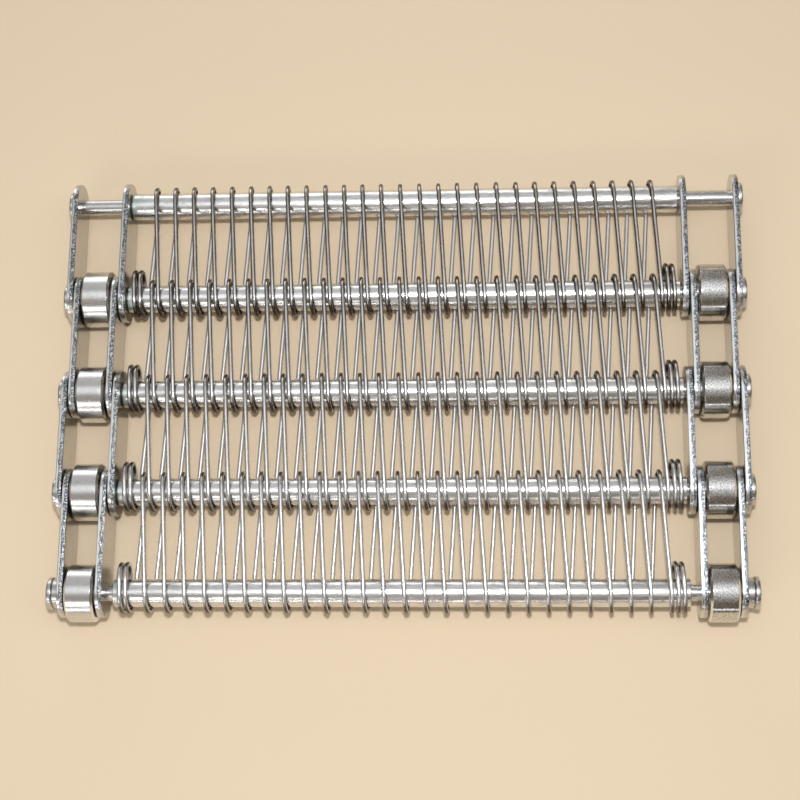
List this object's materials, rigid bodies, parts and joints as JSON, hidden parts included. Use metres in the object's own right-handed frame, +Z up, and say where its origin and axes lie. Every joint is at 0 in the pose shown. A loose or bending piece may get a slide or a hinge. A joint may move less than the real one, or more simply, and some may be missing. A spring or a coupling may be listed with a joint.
{
  "type": "wire mesh conveyor belt section",
  "caption": "Flat section of chain-edge wire mesh conveyor belt: flattened wire spirals on tubed cross rods, hinged link plates and large rollers along both edges.",
  "frame": {"origin": "on the surface that the rollers stand on, under the middle of the section", "axes": "+X across the belt to the right along the cross rods, +Y along the belt to the first row, +Z up"},
  "size_m": [0.3494, 0.2296, 0.0286],
  "materials": {
    "plated_plate": "bright plated faces with rough sheared edges",
    "turned_roller_steel": "fine turned steel, plated bright",
    "polished_tube": "smooth bright tube",
    "bright_wire": "bright drawn wire",
    "rod_steel": "drawn bar, plated",
    "bushing_steel": "ground steel"
  },
  "bodies": {
    "outer_link_1": {"outer_link_1_left_outboard_plate": "plated_plate", "outer_link_1_left_inboard_plate": "plated_plate", "outer_link_1_right_outboard_plate": "plated_plate", "outer_link_1_right_inboard_plate": "plated_plate", "rod_1": "rod_steel", "rod_2": "rod_steel", "end_washer_1_left": "rod_steel", "end_washer_1_right": "rod_steel", "end_washer_2_left": "rod_steel", "end_washer_2_right": "rod_steel", "wire_spiral_1": "bright_wire"},
    "inner_link_2": {"inner_link_2_left_outboard_plate": "plated_plate", "inner_link_2_left_inboard_plate": "plated_plate", "inner_link_2_right_outboard_plate": "plated_plate", "inner_link_2_right_inboard_plate": "plated_plate", "bushing_2_left": "bushing_steel", "bushing_2_right": "bushing_steel", "bushing_3_left": "bushing_steel", "bushing_3_right": "bushing_steel", "wire_spiral_2": "bright_wire"},
    "outer_link_3": {"outer_link_3_left_outboard_plate": "plated_plate", "outer_link_3_left_inboard_plate": "plated_plate", "outer_link_3_right_outboard_plate": "plated_plate", "outer_link_3_right_inboard_plate": "plated_plate", "rod_3": "rod_steel", "rod_4": "rod_steel", "end_washer_3_left": "rod_steel", "end_washer_3_right": "rod_steel", "end_washer_4_left": "rod_steel", "end_washer_4_right": "rod_steel", "wire_spiral_3": "bright_wire"},
    "inner_link_4": {"inner_link_4_left_outboard_plate": "plated_plate", "inner_link_4_left_inboard_plate": "plated_plate", "inner_link_4_right_outboard_plate": "plated_plate", "inner_link_4_right_inboard_plate": "plated_plate", "bushing_4_left": "bushing_steel", "bushing_4_right": "bushing_steel", "bushing_5_left": "bushing_steel", "bushing_5_right": "bushing_steel", "wire_spiral_4": "bright_wire"},
    "tail_rod": {"rod_5": "rod_steel", "end_washer_5_left": "rod_steel", "end_washer_5_right": "rod_steel", "tail_spacer_left": "rod_steel", "tail_spacer_right": "rod_steel"},
    "roller_2_left": {"roller_2_left": "turned_roller_steel"},
    "roller_2_right": {"roller_2_right": "turned_roller_steel"},
    "roller_3_left": {"roller_3_left": "turned_roller_steel"},
    "roller_3_right": {"roller_3_right": "turned_roller_steel"},
    "roller_4_left": {"roller_4_left": "turned_roller_steel"},
    "roller_4_right": {"roller_4_right": "turned_roller_steel"},
    "roller_5_left": {"roller_5_left": "turned_roller_steel"},
    "roller_5_right": {"roller_5_right": "turned_roller_steel"},
    "spacer_tube_1": {"spacer_tube_1": "polished_tube"},
    "spacer_tube_2": {"spacer_tube_2": "polished_tube"},
    "spacer_tube_3": {"spacer_tube_3": "polished_tube"},
    "spacer_tube_4": {"spacer_tube_4": "polished_tube"},
    "spacer_tube_5": {"spacer_tube_5": "polished_tube"}
  },
  "joints": [
    {"name": "chain_joint_2", "type": "hinge", "parent": "outer_link_1", "child": "inner_link_2", "pos_m": [0, 0.05192, 0.01429], "axis": [1, 0, 0], "range_deg": [-75, 75]},
    {"name": "chain_joint_3", "type": "hinge", "parent": "inner_link_2", "child": "outer_link_3", "pos_m": [0, 0.00112, 0.01429], "axis": [1, 0, 0], "range_deg": [-75, 75]},
    {"name": "chain_joint_4", "type": "hinge", "parent": "outer_link_3", "child": "inner_link_4", "pos_m": [0, -0.04968, 0.01429], "axis": [1, 0, 0], "range_deg": [-75, 75]},
    {"name": "tail_rod_spin", "type": "hinge", "parent": "inner_link_4", "child": "tail_rod", "pos_m": [0, -0.10048, 0.01429], "axis": [1, 0, 0], "continuous": true},
    {"name": "roller_2_left_spin", "type": "hinge", "parent": "inner_link_2", "child": "roller_2_left", "pos_m": [0, 0.05192, 0.01429], "axis": [1, 0, 0], "continuous": true},
    {"name": "roller_2_right_spin", "type": "hinge", "parent": "inner_link_2", "child": "roller_2_right", "pos_m": [0, 0.05192, 0.01429], "axis": [1, 0, 0], "continuous": true},
    {"name": "roller_3_left_spin", "type": "hinge", "parent": "inner_link_2", "child": "roller_3_left", "pos_m": [0, 0.00112, 0.01429], "axis": [1, 0, 0], "continuous": true},
    {"name": "roller_3_right_spin", "type": "hinge", "parent": "inner_link_2", "child": "roller_3_right", "pos_m": [0, 0.00112, 0.01429], "axis": [1, 0, 0], "continuous": true},
    {"name": "roller_4_left_spin", "type": "hinge", "parent": "inner_link_4", "child": "roller_4_left", "pos_m": [0, -0.04968, 0.01429], "axis": [1, 0, 0], "continuous": true},
    {"name": "roller_4_right_spin", "type": "hinge", "parent": "inner_link_4", "child": "roller_4_right", "pos_m": [0, -0.04968, 0.01429], "axis": [1, 0, 0], "continuous": true},
    {"name": "roller_5_left_spin", "type": "hinge", "parent": "inner_link_4", "child": "roller_5_left", "pos_m": [0, -0.10048, 0.01429], "axis": [1, 0, 0], "continuous": true},
    {"name": "roller_5_right_spin", "type": "hinge", "parent": "inner_link_4", "child": "roller_5_right", "pos_m": [0, -0.10048, 0.01429], "axis": [1, 0, 0], "continuous": true},
    {"name": "spacer_tube_1_spin", "type": "hinge", "parent": "outer_link_1", "child": "spacer_tube_1", "pos_m": [0, 0.10272, 0.01429], "axis": [1, 0, 0], "continuous": true},
    {"name": "spacer_tube_2_spin", "type": "hinge", "parent": "outer_link_1", "child": "spacer_tube_2", "pos_m": [0, 0.05192, 0.01429], "axis": [1, 0, 0], "continuous": true},
    {"name": "spacer_tube_3_spin", "type": "hinge", "parent": "outer_link_3", "child": "spacer_tube_3", "pos_m": [0, 0.00112, 0.01429], "axis": [1, 0, 0], "continuous": true},
    {"name": "spacer_tube_4_spin", "type": "hinge", "parent": "outer_link_3", "child": "spacer_tube_4", "pos_m": [0, -0.04968, 0.01429], "axis": [1, 0, 0], "continuous": true},
    {"name": "spacer_tube_5_spin", "type": "hinge", "parent": "tail_rod", "child": "spacer_tube_5", "pos_m": [0, -0.10048, 0.01429], "axis": [1, 0, 0], "continuous": true}
  ]
}
